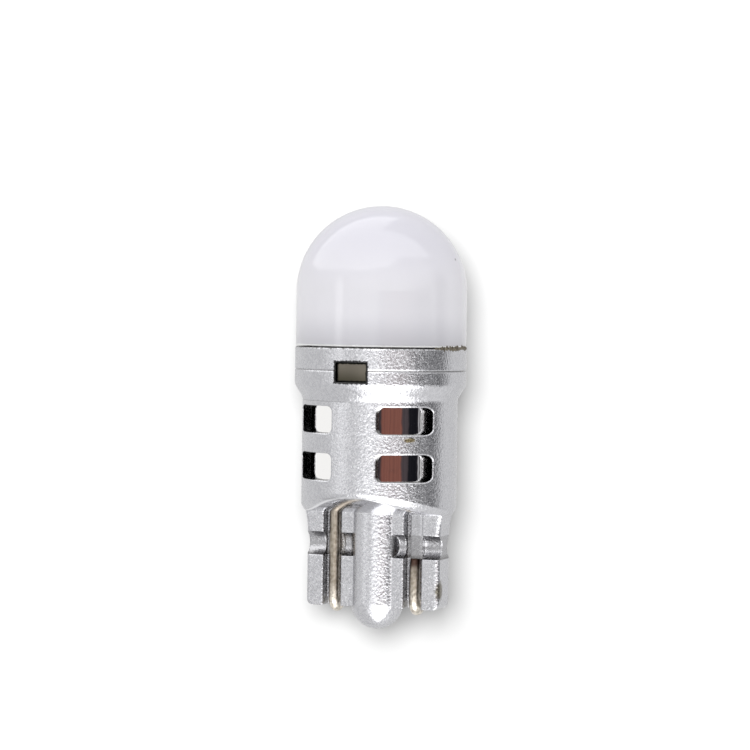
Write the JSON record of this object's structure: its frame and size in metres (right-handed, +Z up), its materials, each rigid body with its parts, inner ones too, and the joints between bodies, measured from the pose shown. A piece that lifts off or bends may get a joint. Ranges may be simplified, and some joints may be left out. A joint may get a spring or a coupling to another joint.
{
  "type": "wedge base led bulb",
  "caption": "LED bulb on a flat wedge base with bent contact wires, a round barrel with vent windows over a polished heat sink sleeve, and a milky dome",
  "frame": {"origin": "on the bulb's axis at the tip of the base's middle pip, its lowest point", "axes": "+Z up the bulb's axis towards the dome, X along the width of the wedge blade, -Y out of the blade's front face"},
  "size_m": [0.0108, 0.0108, 0.0267],
  "materials": {
    "dome": "milky translucent, smooth",
    "shell": "silver metallic paint, fine grain",
    "heat_sink": "mirror polished",
    "wire": "nickel plated, slightly tarnished",
    "thermal_pad": "soft matt",
    "lamp_board": "white solder mask on metal core",
    "led": "white body, yellow phosphor",
    "circuit_board": "green solder mask",
    "chip": "black moulding with tinned leads",
    "capacitor": "tan ceramic with tinned ends",
    "resistor": "dark film with tinned ends",
    "pin": "bright",
    "solder": "bright solder"
  },
  "bodies": {
    "root": {"dome_diffuser": "dome", "body_shell": "shell", "heat_sink_sleeve": "heat_sink", "contact_wire_left": "wire", "contact_wire_right": "wire", "thermal_pad": "thermal_pad", "lamp_board": "lamp_board", "led_package_1": "led", "led_package_2": "led", "led_package_3": "led", "driver_board": "circuit_board", "bridge_rectifier": "chip", "driver_chip": "chip", "surge_diode": "chip", "input_capacitor": "capacitor", "set_resistor_1": "resistor", "set_resistor_2": "resistor", "link_pin_left": "pin", "link_pin_right": "pin", "wire_solder_left": "solder", "wire_solder_right": "solder", "pin_solder_left": "solder", "pin_solder_right": "solder"}
  },
  "joints": []
}
